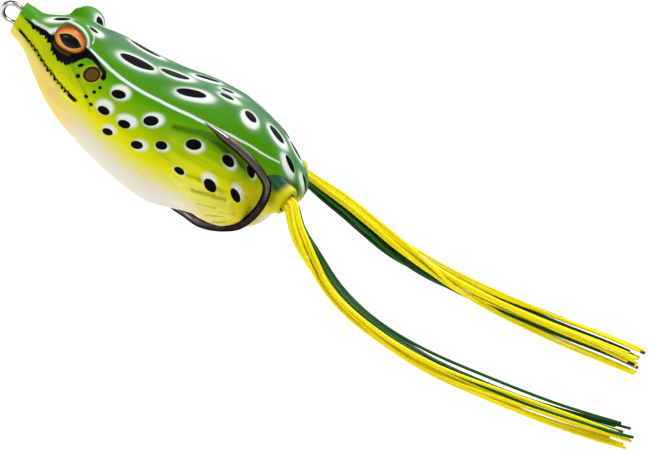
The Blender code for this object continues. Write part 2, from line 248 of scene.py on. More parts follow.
def surface(name, grid, material, marks=None):
    """A closed mesh from grid[along, round, xyz], with marks given on the same grid.
    Rows join round, and each end closes on the mean of its row."""
    rows, cols = grid.shape[:2]
    poles = np.stack([grid[0].mean(axis=0), grid[-1].mean(axis=0)])
    points = np.concatenate([grid.reshape(-1, 3), poles])
    index = np.arange(rows * cols).reshape(rows, cols)
    after = np.roll(index, -1, axis=1)
    quads = np.stack([index[:-1], after[:-1], after[1:], index[1:]], axis=-1).reshape(-1, 4)
    first = np.stack([after[0], index[0], np.full(cols, rows * cols)], axis=-1)
    last = np.stack([index[-1], after[-1], np.full(cols, rows * cols + 1)], axis=-1)
    a, b, c, d = (points[quads[:, k]] for k in range(4))
    volume = np.einsum("ij,ij->", a, np.cross(b, c)) + np.einsum("ij,ij->", a, np.cross(c, d))
    if volume < 0:
        quads, first, last = quads[:, ::-1], first[:, ::-1], last[:, ::-1]
    kept = {key: np.concatenate([values.reshape(-1), [values[0].mean(), values[-1].mean()]])
            for key, values in (marks or {}).items()}
    return made_of(name, points, quads.tolist() + first.tolist() + last.tolist(), kept, material)


def smooth_route(points, count):
    """count points on a smooth curve through the route points (Catmull-Rom: each span's slope is half the
    step from the point before it to the point after it)."""
    p = np.asarray(points, dtype=float)
    padded = np.vstack([p[0], p, p[-1]])
    t = np.linspace(0, len(p) - 1, count)
    i = np.minimum(t.astype(int), len(p) - 2)
    f = (t - i)[:, None]
    a, b, c, d = (padded[i + k] for k in range(4))
    curve = 0.5 * (2 * b + (c - a) * f + (2 * a - 5 * b + 4 * c - d) * f ** 2
                   + (3 * b - a - 3 * c + d) * f ** 3)
    return evenly(curve, count)


def lengths(curve):
    """How far along the curve each of its points is."""
    return np.concatenate([[0.0], np.cumsum(np.linalg.norm(np.diff(curve, axis=0), axis=1))])


def evenly(curve, count):
    """The same curve with count points at equal steps."""
    far = lengths(curve)
    at = np.linspace(0, far[-1], count)
    return np.stack([np.interp(at, far, curve[:, k]) for k in range(3)], axis=1)


def frames(curve):
    """(side, other side) at each point: two directions across the curve, carried along without twisting."""
    ahead = np.gradient(curve, axis=0)
    ahead /= np.linalg.norm(ahead, axis=1)[:, None]
    side = np.zeros_like(curve)
    start = np.cross(ahead[0], (0.31, 0.57, 0.76))
    side[0] = start / np.linalg.norm(start)
    for k in range(1, len(curve)):
        flat = side[k - 1] - ahead[k] * (side[k - 1] @ ahead[k])
        side[k] = flat / np.linalg.norm(flat)
    return side, np.cross(ahead, side)


def tube(curve, radius, sides):
    """grid[along, round]: a circle of the given radius across the curve at each of its points."""
    side, other = frames(curve)
    turn = np.linspace(0, 2 * np.pi, sides, endpoint=False)[None, :, None]
    radius = np.broadcast_to(radius, len(curve))[:, None, None]
    return curve[:, None] + radius * (side[:, None] * np.cos(turn) + other[:, None] * np.sin(turn))


def ease(value, low, high):
    """0 below low, 1 above high, and a smooth S between (3t^2 - 2t^3)."""
    t = np.clip((value - low) / (high - low), 0.0, 1.0)
    return t * t * (3 - 2 * t)


print("surface, tube and route helpers ready")

# %% [markdown]
# ## The body's form
# The real body is one soft moulding: an egg with a blunt cupped nose. Its form is a row of oval sections with a
# smooth curve through their sizes. Lids, jaw, haunches and fingers are then pushed out of it or into it along
# the surface's own normals, the way a sculptor adds clay, so that they melt into the body.

# %% Sections of the body, from the mouth's rim to the tail
TIE_AHEAD, BODY_LENGTH = 1.6, 60.0
HALF_HEIGHT, HALF_WIDTH = 12.8, 12.2
# share of length, centre's height in mm, half height and half width as shares of the largest
SECTIONS = np.array((
    (0.0, -0.2, 0.236, 0.282), (0.025, -0.52, 0.25, 0.327), (0.06, -1.08, 0.283, 0.393),
    (0.117, -1.75, 0.465, 0.508), (0.167, -2.3, 0.61, 0.623), (0.233, -3.35, 0.712, 0.754),
    (0.3, -4, 0.787, 0.844), (0.4, -4.95, 0.863, 0.926), (0.492, -5.4, 0.931, 0.984),
    (0.6, -5.15, 1, 1), (0.7, -4.15, 0.94, 0.951), (0.78, -3.9, 0.854, 0.869),
    (0.872, -3.5, 0.65, 0.705), (0.93, -3.1, 0.475, 0.516), (0.973, -2.75, 0.296, 0.344),
    (0.99, -2.55, 0.179, 0.2), (1, -2.45, 0.048, 0.05)))


def section(share):
    """Centre height, half height and half width at a share of the length: a cubic through each pair of
    sections whose slope at a section is that of the line between its two neighbours."""
    share = np.clip(share, 0.0, 1.0)
    x, rows = SECTIONS[:, 0], SECTIONS[:, 1:]
    i = np.clip(np.searchsorted(x, share, side="left") - 1, 0, len(x) - 2)
    before, after = np.maximum(i - 1, 0), np.minimum(i + 2, len(x) - 1)
    gap = (x[i + 1] - x[i])[..., None]
    t = ((share - x[i]))[..., None] / gap
    slope0 = (rows[i + 1] - rows[before]) / (x[i + 1] - x[before])[..., None] * gap
    slope1 = (rows[after] - rows[i]) / (x[after] - x[i])[..., None] * gap
    out = ((2 * t ** 3 - 3 * t * t + 1) * rows[i] + (t ** 3 - 2 * t * t + t) * slope0
           + (-2 * t ** 3 + 3 * t * t) * rows[i + 1] + (t ** 3 - t * t) * slope1)
    return out[..., 0], out[..., 1] * HALF_HEIGHT, out[..., 2] * HALF_WIDTH


def back_of(station):
    """World x, in millimetres, at a distance behind the mouth's rim."""
    return -(TIE_AHEAD + station)


print("widest section:", [round(float(v), 1) for v in section(np.array(0.6))], "mm")

# %% The plain body: outside from tail to rim, then over the rim into the cup
ROUND, LONG, CUP_ROWS = 300, 300, 22
OUTER_ROWS = LONG - CUP_ROWS
CUP_DEPTH, LIP, WALL, WALL_FROM = 6.4, 0.35, 1.6, 6.0

outside = BODY_LENGTH * (0.5 + 0.5 * np.cos(np.pi * np.linspace(0.02, 1.0, OUTER_ROWS) ** 0.96))
outside = 0.35 * outside + 0.65 * np.linspace(BODY_LENGTH - 0.05, 0.0, OUTER_ROWS)
inside = np.linspace(0.0, CUP_DEPTH, CUP_ROWS)
station = np.concatenate([outside, inside])
thick = np.concatenate([np.zeros(OUTER_ROWS), LIP + (WALL - LIP) * np.minimum(inside / WALL_FROM, 1.0)])
thick[OUTER_ROWS] = LIP * 0.5
theta = np.linspace(-np.pi, np.pi, ROUND, endpoint=False)

centre, half_z, half_y = section(station / BODY_LENGTH)
# For every point of the grid: how far behind the rim, the turn from the ridge, and that turn as millimetres.
S = np.broadcast_to(station[:, None], (LONG, ROUND))
T = np.broadcast_to(theta[None, :], (LONG, ROUND))
SWEEP = (half_z + half_y)[:, None] / 2 * T
GIRTH = np.abs(SWEEP)
body = np.stack([np.broadcast_to(back_of(station)[:, None], (LONG, ROUND)),
                 np.maximum(half_y - thick, 0.02)[:, None] * np.sin(T),
                 centre[:, None] + np.maximum(half_z - thick, 0.02)[:, None] * np.cos(T)], axis=-1)
skin_rows = (np.arange(LONG) < OUTER_ROWS)[:, None]
print("body grid:", body.shape)


def on_skin(values, elsewhere=9.0):
    """The values on the outer skin, and one number in the cup, where nothing is painted or sculpted."""
    return np.where(skin_rows, values, elsewhere)


# %% Places on the body: a map whose units are millimetres along and round it
def on_map(station_mm, degrees):
    """(along, round) of a place given by its distance from the mouth and its turn from the ridge."""
    _, high, wide = section(np.asarray(station_mm, dtype=float) / BODY_LENGTH)
    return np.asarray(station_mm, dtype=float), (high + wide) / 2 * np.radians(degrees)


def to_line(stations, degrees):
    """Distance on the map to a line of straight spans."""
    x, y = on_map(stations, degrees)
    best = np.full(S.shape, 1e9)
    for x0, y0, x1, y1 in zip(x, y, x[1:], y[1:]):
        span = (x1 - x0) ** 2 + (y1 - y0) ** 2
        t = np.clip(((S - x0) * (x1 - x0) + (GIRTH - y0) * (y1 - y0)) / span, 0, 1)
        far = np.hypot(S - x0 - t * (x1 - x0), GIRTH - y0 - t * (y1 - y0))
        best = np.minimum(best, far)
    return best


def in_outline(stations, degrees):
    """Signed distance on the map to a closed outline: below 0 inside. A point is inside when a ray from it
    crosses the outline an odd number of times."""
    far = to_line(list(stations) + [stations[0]], list(degrees) + [degrees[0]])
    x, y = on_map(stations, degrees)
    odd = np.zeros(S.shape, dtype=bool)
    for x0, y0, x1, y1 in zip(x, y, np.roll(x, -1), np.roll(y, -1)):
        crosses = (y0 > GIRTH) != (y1 > GIRTH)
        slope = (x1 - x0) / (y1 - y0) if y1 != y0 else 0.0
        odd ^= crosses & (S < x0 + (GIRTH - y0) * slope)
    return np.where(odd, -far, far)


def blob(station_mm, degrees, half_long, half_round, tilt=0.0, around=None):
    """Share of the way out to an oval's edge on the map: 0 at its middle and 1 on its edge. The map is the
    same on both sides, unless around is the map of one side only."""
    across = GIRTH if around is None else around
    x, y = on_map(station_mm, degrees)
    c, s = math.cos(math.radians(tilt)), math.sin(math.radians(tilt))
    u, v = (S - x) * c + (across - y) * s, (across - y) * c - (S - x) * s
    return np.hypot(u / half_long, v / half_round)


EYE = np.array([back_of(10.5), 6.0, 3.45])
EYE_RADII = np.array([3.1, 1.95, 2.45])
BUMP, BUMP_RADIUS = np.array([back_of(10.85), 4.4, 2.8]), 3.5
print("map ready; eye at", EYE)


# %% Sculpt: how far each point moves along its normal, in millimetres
def normals(grid):
    """Unit normals of a grid that is closed round: the cross product of its two directions."""
    along = np.gradient(grid, axis=0)
    padded = np.concatenate([grid[:, -1:], grid, grid[:, :1]], axis=1)
    across = padded[:, 2:] - padded[:, :-2]
    n = np.cross(across, along)
    n /= np.maximum(np.linalg.norm(n, axis=-1, keepdims=True), 1e-9)
    out = np.stack([np.zeros(S.shape), np.sin(T), np.cos(T)], axis=-1)
    return n * np.sign(np.einsum("ijk,ijk->ij", n, out))[..., None]


mirrored = np.stack([body[..., 0], np.abs(body[..., 1]), body[..., 2]], axis=-1)
n = normals(body)
n_side = np.stack([n[..., 0], n[..., 1] * np.sign(body[..., 1] + 1e-9), n[..., 2]], axis=-1)

# The lid's bump: push each point along its normal until it leaves a ball round the eye.
offset = mirrored - BUMP
middle = np.einsum("ijk,ijk->ij", offset, n_side)
inner = middle ** 2 - (np.einsum("ijk,ijk->ij", offset, offset) - BUMP_RADIUS ** 2)
bump = np.where(inner > 0, np.sqrt(np.maximum(inner, 0)) - middle, 0.0)
bump = np.clip(bump, 0.0, 4.0) * ease(inner, 0.0, 1.6)
# The eye's outline seen from its side, tilted a little up: 1 on its edge.
out_of_eye = np.hypot((mirrored[..., 0] - EYE[0]) / EYE_RADII[0],
                      ((mirrored[..., 2] + n_side[..., 2] * bump - EYE[2]) * 0.93
                       - (mirrored[..., 1] + n_side[..., 1] * bump - EYE[1]) * 0.30) / EYE_RADII[2])
near_eye = (mirrored[..., 1] + n_side[..., 1] * bump > 3.6) & (np.abs(S - 10.6) < 6.0)
lid = np.where(near_eye, 0.42 * np.exp(-((out_of_eye - 1.08) / 0.13) ** 2), 0.0)
socket = np.where(near_eye, 1.1 * (1 - ease(out_of_eye, 0.80, 1.0)), 0.0)

EAR = (16.7, 61.5)
from_ear = blob(*EAR, 1.0, 1.0)
ear = 0.24 * np.exp(-((from_ear - 1.75) / 0.28) ** 2) - 0.16 * (1 - ease(from_ear, 1.1, 1.6))

MOUTH_LINE = ((1.3, 93), (2.9, 91), (4.9, 91), (6.6, 94), (8.7, 97), (11.6, 96.5), (14.4, 94.5),
              (16.6, 93.5))
from_mouth = to_line(*zip(*MOUTH_LINE))
gape = -0.30 * np.exp(-(from_mouth / 0.30) ** 2)
lips = 0.20 * np.exp(-((from_mouth - 0.9) / 0.55) ** 2) * ease(S, 1.5, 5.0)
JOWL = (14.6, 107.0)
jowl = 0.55 * (1 - ease(blob(*JOWL, 4.2, 2.6, -8), 0.45, 1.05))
fold = to_line((11.8, 13.1, 14.2, 15.8, 17.0, 18.2, 19.6), (69, 70, 73, 77, 80, 85, 93))
cheek = to_line((3.4, 5.5, 6.4, 7.5, 8.6, 10.4), (58, 62, 74, 82, 87, 90))
folds = -0.13 * np.exp(-(fold / 0.34) ** 2) - 0.08 * np.exp(-(cheek / 0.28) ** 2)

haunch = 0.85 * (1 - ease(blob(43.5, 81, 10.0, 6.6, -6), 0.55, 1.05)) * ease(S, 31, 36)
haunch += 1.5 * (1 - ease(blob(48.8, 130, 13.5, 7.5), 0.38, 1.05))
hip = to_line((33.8, 36.5, 38.5, 41.0, 43.5, 46.5, 49.5), (61.5, 59.5, 57.5, 58, 60, 63.5, 68))
crease = -0.25 * np.exp(-(hip / 0.5) ** 2)
rump = to_line((53.8, 54.4, 55.2, 56.6, 58.0), (82, 73, 66, 61, 63))
crease -= 0.25 * np.exp(-(rump / 0.5) ** 2)
RIBS = ((39.0, 46.6, 97.5, 96.0), (40.4, 48.0, 104, 101), (42.4, 48.8, 112, 108), (44.6, 49.4, 121, 116))
DASHES = ((38.4, 46.4, 92, 93.5), (41.4, 47.2, 101, 98.5), (43.6, 46.4, 113, 109), (45.8, 48.5, 125, 120),
          (47.4, 49.2, 137, 132))
fingers = np.zeros(S.shape)
for first, last, turn, end in RIBS:
    reach = to_line((first, last), (turn, end))
    fingers = np.maximum(fingers, 0.30 * np.exp(-(reach / 0.6) ** 2))
dashes = np.full(S.shape, 9.0)
for first, last, turn, end in DASHES:
    reach = to_line((first, last), (turn, end))
    dashes = np.minimum(dashes, reach)

move = bump + lid - socket + np.where(near_eye & (out_of_eye < 1.3), 0, ear + gape + lips + folds)
move += jowl + haunch + crease + fingers
body = body + n * on_skin(move, 0.0)[..., None]

# The slit under the belly that the hook's shanks leave through.
slit = (ease(S, 29.6, 30.6) * (1 - ease(S, 43.2, 44.4)) * (1 - ease(np.abs(body[..., 1]), 2.5, 2.9))
        * (np.abs(T) > 2.2) * skin_rows)
body[..., 2] += 4.2 * slit
print("sculpted; tallest lid bump %.1f mm" % bump.max())

# %% [markdown]
# ## The paint on the body
# The factory sprays green on the back, yellow on the sides and cream on the belly, then prints black spots with
# pale rims. An edge that must stay crisp is kept as a distance to that edge, in millimetres, on each point;
# the shader cuts it at zero, so the line is as fine as the grid allows and needs no image.

# %% Black spots, each with a pale sprayed patch round it
# distance from the mouth, turn from the ridge (below 0 on the right side), half length, half width, tilt;
# then its patch: shift along and round, half length, half width
BACK_SPOTS = (
    (7.0, 10, 1.35, 0.60, -8, -0.4, 3, 2.1, 1.1), (12.9, 12, 0.95, 0.45, 12, 0.6, 1.5, 1.5, 1.0),
    (13.3, -20, 1.3, 0.9, 0, 0.2, 0, 1.9, 1.4), (22.3, -8.5, 3.1, 0.95, 0, 0.3, 1.5, 3.8, 1.5),
    (22.4, 22, 3.3, 1.05, -6, 0.0, 0.5, 3.95, 1.6), (29.2, 12.5, 2.7, 0.80, -6, 0.4, 0, 3.4, 1.3),
    (29.6, -27, 2.4, 0.90, 4, 0.3, 0, 3.1, 1.4), (34.5, -2.5, 2.35, 0.75, -12, -0.2, 2, 3.0, 1.25),
    (33.4, 27, 2.65, 0.95, -11, 0.7, 0.5, 3.6, 1.6), (34.3, -32, 2.6, 0.95, 6, 0.3, 0, 3.4, 1.6),
    (38.7, 4.5, 1.3, 0.50, -12, 0.5, 0, 2.1, 0.85), (39.1, 13.5, 1.4, 0.56, -4, 0.5, 0.5, 2.2, 0.95),
    (39.4, -20, 1.4, 0.60, 0, 0.3, 0, 2.1, 1.1), (44.5, 20, 1.35, 0.90, 8, 0.1, 3, 2.0, 1.8),
    (45.0, -18, 1.7, 0.90, 0, 0.0, 0, 2.4, 1.5), (50.1, 11, 1.9, 0.90, -2, 0.3, 2, 2.7, 1.55),
    (49.8, -30, 1.7, 0.90, 4, 0.2, 0, 2.4, 1.5), (54.5, -7, 1.8, 0.75, 18, 0.0, 1, 2.4, 1.2),
    (54.7, 30, 1.45, 0.65, 8, -0.3, 5, 2.0, 1.25), (55.0, -40, 1.4, 0.80, 0, 0.1, 0, 2.0, 1.3),
    (58.6, 27, 1.0, 0.40, 0, -0.4, 8, 1.25, 0.8))
# the same on both sides, for the flanks
SIDE_SPOTS = (
    (22.5, 61, 1.3, 0.8, -15, 0.2, -2.5, 1.75, 1.4), (21.6, 82, 1.15, 0.75, 0, -0.1, -3.5, 1.6, 1.3),
    (25.9, 80, 1.15, 0.75, -4, 0.2, -4, 1.8, 1.15), (29.7, 65, 1.3, 0.95, -18, 0.3, -1.5, 1.8, 1.4),
    (24.0, 96, 1.0, 0.7, -10, 0.1, -3, 1.2, 0.9), (38.2, 68, 1.4, 0.9, -18, 0.35, 1, 1.6, 1.1),
    (44.7, 69, 1.25, 0.82, -8, 0.4, 0.5, 1.4, 1.0), (49.2, 68, 1.05, 0.8, 0, 0.2, 0.3, 1.0, 0.7),
    (43.9, 92, 1.25, 0.75, -6, -0.45, -3, 1.35, 0.85), (48.6, 94, 1.2, 0.72, 0, 0.1, -3.5, 1.3, 0.85),
    (29.6, 89, 1.1, 0.8, -6, 0.5, -1, 1.4, 1.05), (33.4, 79, 1.05, 0.8, 0, 0.3, 0.6, 1.15, 0.85),
    (38.2, 91, 1.0, 0.6, -6, 0.1, 0.5, 1.0, 0.6))
FACE_SPOTS = ((14.2, 61, 0.58, 0.34, -40), (14.7, 72, 0.46, 0.42, 0), (19.1, 67, 0.36, 0.33, 0),
              (18.6, 74, 0.36, 0.36, 0), (17.7, 83, 0.44, 0.36, 30), (19.1, 86, 0.42, 0.34, 20))

ink = np.full(S.shape, 9.0)
rim = np.full(S.shape, 9.0)
glow = np.full(S.shape, 9.0)
for spots, around in ((BACK_SPOTS, SWEEP), (SIDE_SPOTS, None)):
    for s, d, long_, wide, tilt, more, lower, rim_long, rim_wide in spots:
        oval = (blob(s, d, long_, wide, tilt, around) - 1) * wide
        patch = (blob(s + more, d + lower, rim_long, rim_wide, tilt, around) - 1) * rim_wide
        ink, rim = np.minimum(ink, oval), np.minimum(rim, patch)
        # Each back spot also gets a wider field for a painted grey-green sheen.
        if around is SWEEP:
            glow = np.minimum(glow, patch - 0.9)
for s, d, long_, wide, tilt in FACE_SPOTS:
    ink = np.minimum(ink, (blob(s, d, long_, wide, tilt) - 1) * wide)
print("spots:", len(BACK_SPOTS) + 2 * (len(SIDE_SPOTS) + len(FACE_SPOTS)))

# %% The black mask under the eye, the zigzag mouth and the white stripe
MASK = ((1.1, 50), (2.9, 43.5), (4.2, 44), (5.8, 47), (7.0, 52), (8.6, 49), (11.6, 45), (13.4, 42.5),
        (14.7, 41.5), (16.0, 44), (17.4, 48), (18.6, 50), (19.3, 56), (19.0, 60), (18.3, 60), (18.2, 54.5),
        (17.0, 52), (15.6, 49), (14.4, 50.5), (13.6, 57), (13.1, 63), (12.5, 68.5), (11.5, 74), (10.4, 77),
        (9.2, 76), (8.2, 71.5), (7.4, 66.5), (6.4, 62), (5.3, 58), (3.9, 56), (3.0, 53.5), (1.9, 53.5),
        (1.2, 53))
teeth = np.abs((S * 1.05 + 0.25 * np.sin(S * 2.9)) % 1.0 - 0.5) * 2
lower_edge = ease(GIRTH - on_map(S, 50.0)[1], 0.0, 0.5) * ease(S, 1.6, 2.6) * (1 - ease(S, 12.6, 13.4))
mask = in_outline(*zip(*MASK)) + 0.50 * (teeth - 0.5) * lower_edge
mouth_wave = np.abs((S * 1.07 + 0.12 * np.sin(S * 3.7)) % 1.0 - 0.5) * 2 - 0.5
_, line_turn = on_map(S, np.interp(S, *zip(*MOUTH_LINE)))
ends = 0.07 * (1 - ease(S, 3.2, 4.6)) + 0.05 * ease(S, 14.2, 15.4)
mouth = np.abs(GIRTH - line_turn - 0.70 * mouth_wave * ease(S, 3.0, 4.6) * (1 - ease(S, 14.0, 15.4))) * 0.66
mouth = np.maximum(mouth - 0.145 - ends, np.maximum(1.4 - S, S - 16.6) * 0.5)
STRIPE = ((14.3, 39.5), (16.5, 43), (18.9, 46), (21.3, 47), (25.5, 47), (29.3, 46), (33.2, 47), (37.0, 48),
          (41.0, 49), (44.9, 48), (49.0, 46), (50.9, 44), (53.0, 40.5))
from_stripe = to_line(*zip(*STRIPE))
stripe = from_stripe - np.interp(S, (14, 18, 35, 43, 53), (0.16, 0.27, 0.27, 0.20, 0.10))
lid_pale = np.where(near_eye & (mirrored[..., 2] + n_side[..., 2] * bump > EYE[2] - 0.1),
                    np.abs(out_of_eye - 1.06) * 2.3 - 0.11, 9.0)
lid_back = np.where((np.abs(S - 13.2) < 1.9) & (GIRTH < on_map(S, 34.0)[1]) & (T > 0),
                    np.abs(inner - 0.8) * 0.22 - 0.12, 9.0)
nose_line = to_line((2.8, 4.4, 5.8, 6.8), (38, 39.5, 43, 46))
rim = np.minimum(rim, nose_line - 0.20)
rim = np.minimum(rim, (blob(6.6, 45, 1.1, 0.7) - 1) * 0.7)
white = on_skin(np.minimum(np.minimum(stripe, lid_pale), lid_back))
black = on_skin(np.minimum(np.minimum(ink, mask), mouth))
# Painted shade: a dark green band along the folds of hip and rump.
green_fold = np.minimum(hip - np.interp(S, (33, 40, 45, 50), (0.30, 0.50, 1.05, 0.35)), rump - 0.75)
print("paint laid out: %.0f %% of the points are black" % (100 * (black < 0).mean()))

# %% The skin's finish: sprayed bands, printed spots, painted shade and sheen, a thin clear coat
# The second colour on the next line is painted shade for the folds; the third is a painted sheen for the ridge.
GREEN, FOLD_SHADE, RIDGE_SHEEN = (0.058, 0.262, 0.001), (0.003, 0.085, 0.006), (0.074, 0.190, 0.100)
LIME, ACID, YELLOW = (0.250, 0.440, 0.001), (0.520, 0.620, 0.001), (0.840, 0.800, 0.002)
CREAM, CHIN, INK, PALE = (0.78, 0.74, 0.60), (0.86, 0.66, 0.16), (0.003, 0.003, 0.004), (0.80, 0.86, 0.80)


def painted_skin(name):
    """Bands of colour by how far round from the ridge a point is, then a list of layers (colour, how much it
    covers), each laid over the ones before it: sprayed and printed colour, with painted shade, sheen and
    highlight among them."""
    paint = Finish(name, coat_weight=0.01, coat_roughness=0.08, ior=1.33, specular_ior_level=0.06)
    turn = paint.value("turn")
    drift = (paint.noise(9.0) - 0.5) * 7.0 + (paint.grain(1.4, 9.0) - 0.5) * 10.0
    round_ = (turn + drift) * (1 / 180)
    # The ramp's first two stops paint a grey-green sheen along the ridge.
    bands = paint.ramp(round_, ((0.0, RIDGE_SHEEN), (0.09, (0.066, 0.215, 0.060)), (0.19, GREEN),
                                (0.28, (0.075, 0.30, 0.002)), (0.33, (0.140, 0.380, 0.003)), (0.39, LIME),
                                (0.46, ACID), (0.53, YELLOW), (0.60, (0.80, 0.77, 0.22)), (0.67, CREAM),
                                (1.0, CREAM)))
    station = paint.along("X") * -1.0 - TIE_AHEAD
    face = station.step(13.0, 8.0) * (turn + drift * 0.4).step(48.0, 62.0)
    head = station.step(22.0, 13.0) * (turn + drift * 0.5).step(96.0, 103.0)
    rear = station.step(38.0, 52.0) * (turn + drift).step(76.0, 96.0) * (turn + drift).step(165, 128)
    fibre = paint.grain(1.7, 9.0, 2.0)
    haunch_zone = station.step(30, 36) * station.step(56, 50) * turn.step(64, 74) * turn.step(126, 108)
    rib_gap_shade = paint.value("dashes") + (paint.noise(0.8) - 0.5) * 0.5
    ear_disc = paint.value("ear") + (paint.noise(0.6) - 0.5) * 0.12
    sheen_near_spots = paint.value("glow") + (paint.noise(0.9) - 0.5) * 0.5
    soft = paint.value("rim") + (paint.noise(0.35) - 0.5) * 0.16
    line = paint.value("white") + (paint.noise(0.5) - 0.5) * 0.06
    black_edge = paint.value("black") + (paint.noise(0.4) - 0.5) * 0.05
    layers = (
        (GREEN, station.step(15.0, 9.0) * turn.step(44.0, 34.0)),  # the top of the snout
        ((0.52, 0.58, 0.002), face * 0.8),  # the cheeks
        (CHIN, head),
        ((0.80, 0.70, 0.006), rear),  # the yellow rump
        ((0.74, 0.76, 0.02), fibre.step(0.48, 0.66) * haunch_zone * 0.40),  # light streaks
        ((0.26, 0.33, 0.002), fibre.step(0.46, 0.32) * haunch_zone * 0.40),  # dark streaks
        ((0.78, 0.76, 0.10), paint.value("fingers").step(0.06, 0.24) * 0.7),  # painted highlight on the ribs' crests
        ((0.30, 0.36, 0.002), rib_gap_shade.step(0.42, 0.05) * 0.75),  # painted shade in the dashes between the ribs
        (FOLD_SHADE, paint.value("green_fold").step(0.55, -0.35) * 0.85),  # painted shade, dark green, in the folds of hip and rump
        ((0.10, 0.20, 0.002), paint.value("crease").step(0.03, 0.22) * 0.6),  # painted shade in every crease, a little
        ((0.42, 0.42, 0.02), ear_disc.step(1.95, 1.75) * 0.7),  # round the ear
        ((0.030, 0.014, 0.003), ear_disc.step(1.52, 1.42)),  # the ear's dark ring
        ((0.110, 0.062, 0.010), ear_disc.step(1.22, 1.02)),  # the ear's disc
        ((0.20, 0.36, 0.20), sheen_near_spots.step(0.3, -0.9) * 0.5),  # painted sheen, grey-green, round the back spots
        (PALE, soft.step(0.40, -0.38) * 0.94),  # the spots' pale patches
        ((0.12, 0.24, 0.10), line.step(0.36, 0.10) * 0.45),  # beside the white lines
        ((0.72, 0.86, 0.74), line.step(0.11, -0.07)),  # the white lines
        (INK, black_edge.step(0.06, -0.06)),
        ((0.115, 0.060, 0.006), paint.value("eye_bag").step(1.17, 1.04) * 0.8))  # painted shade, olive brown, under the eye
    for colour, cover in layers:
        bands = paint.mix(bands, colour, cover)
    speck = paint.noise(0.16, 2.0)
    rough = 0.34 + speck * 0.10 + paint.noise(6.0) * 0.08 - black_edge.step(0.05, -0.05) * 0.04
    ripple = paint.noise(1.3, 2.0) * 0.5 + paint.noise(5.0) * 1.2 + speck * 0.06
    return paint.set(base_color=bands, roughness=rough, normal=paint.bump(ripple, 0.05, 0.5))


skin = painted_skin("painted_skin")
# Painted shade: an olive-brown field under each eye, on the skin.
eye_bag = out_of_eye + 1.2 * ease(mirrored[..., 2], EYE[2] - 2.2, EYE[2] - 0.6) + 0.8 * ease(S, 11.6, 13.0)
marks = {"turn": np.degrees(np.abs(T)), "ear": on_skin(from_ear), "rim": on_skin(rim), "glow": on_skin(glow),
         "white": white, "black": black, "green_fold": on_skin(green_fold), "dashes": on_skin(dashes),
         "fingers": on_skin(fingers, 0.0), "crease": on_skin(np.maximum(0.0, -(crease + folds + gape)), 0.0),
         "eye_bag": np.where(near_eye & skin_rows, eye_bag, 9.0)}
frog_skin = surface("frog_skin", body, skin.material, marks)
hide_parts("body_shell")
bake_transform(frog_skin)
print("skin:", len(frog_skin.data.polygons), "faces")

# %% [markdown]
# ## The sockets of the legs
# At the tail two thick rubber collars grow out of the body, one for each bundle of strands. Each is a profile
# spun round its axis: out from the body, over a rounded lip and back down the hole.

# %% Leg sockets
SOCKET_IN, SOCKET_OUT = np.array([-49.6, 3.4, -2.0]), np.array([-59.32, 7.3, -2.6])
SOCKET_RADIUS, HOLE_RADIUS = 2.75, 1.7


def leg_socket(name, side, material):
    """A profile (distance along the axis, radius) spun about the line from the inner to the outer point."""
    a, b = SOCKET_IN * (1, side, 1), SOCKET_OUT * (1, side, 1)
    ahead = (b - a) / np.linalg.norm(b - a)
    across = np.cross(ahead, (0, 0, 1))
    across /= np.linalg.norm(across)
    above = np.cross(across, ahead)
    lip = np.linspace(0, np.pi, 12)
    wall = (SOCKET_RADIUS - HOLE_RADIUS) / 2
    outer = np.linspace(-7.5, -1.2, 14)
    reach = np.concatenate([outer, -0.62 + 0.62 * np.sin(lip), np.linspace(-0.7, -4.0, 5)])
    ring = np.concatenate([SOCKET_RADIUS + 1.15 * ease(-outer, 1.2, 7.0),
                           HOLE_RADIUS + wall + wall * np.cos(lip), np.full(5, HOLE_RADIUS * 0.97)])
    turn = np.linspace(0, 2 * np.pi, 64, endpoint=False)[None, :]
    swell = 1 + 0.03 * np.sin(3 * turn + side) * (reach[:, None] < -0.5)
    r = ring[:, None] * swell
    grid = (b + reach[:, None, None] * ahead + r[..., None] * (np.cos(turn)[..., None] * across
                                                               + np.sin(turn)[..., None] * above))
    marks = {"upper": np.broadcast_to(np.sin(turn), r.shape), "reach": np.broadcast_to(reach[:, None], r.shape),
             "hole": np.broadcast_to((np.arange(len(reach)) > 22)[:, None] * 1.0, r.shape)}
    return surface(name, grid, material, marks)


collar = Finish("socket_rubber", coat_weight=0.03, coat_roughness=0.10, ior=1.35, specular_ior_level=0.12)
upper = collar.value("upper") + (collar.noise(2.0) - 0.5) * 0.5
tone = collar.ramp(upper * 0.5 + 0.5, ((0.0, (0.74, 0.62, 0.01)), (0.45, (0.66, 0.62, 0.004)),
                                       (0.66, (0.24, 0.38, 0.004)), (0.80, (0.010, 0.085, 0.025)),
                                       (1.0, (0.006, 0.060, 0.040))))
lip_band = collar.value("reach").step(-2.4, -0.9)
tone = collar.mix(tone, (0.66, 0.60, 0.006), lip_band * 0.85)
# Painted shade: the hole's inner wall is darkened.
tone = collar.mix(tone, (0.20, 0.16, 0.004), collar.value("hole") * 0.9)
collar.set(base_color=tone, roughness=0.34 + collar.noise(0.5) * 0.1,
           normal=collar.bump(collar.noise(1.0), 0.05, 0.6))
for side, word in ((1, "left"), (-1, "right")):
    made = leg_socket(word + "_leg_socket", side, collar.material)
    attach(made, "harness")
print("sockets on the harness")
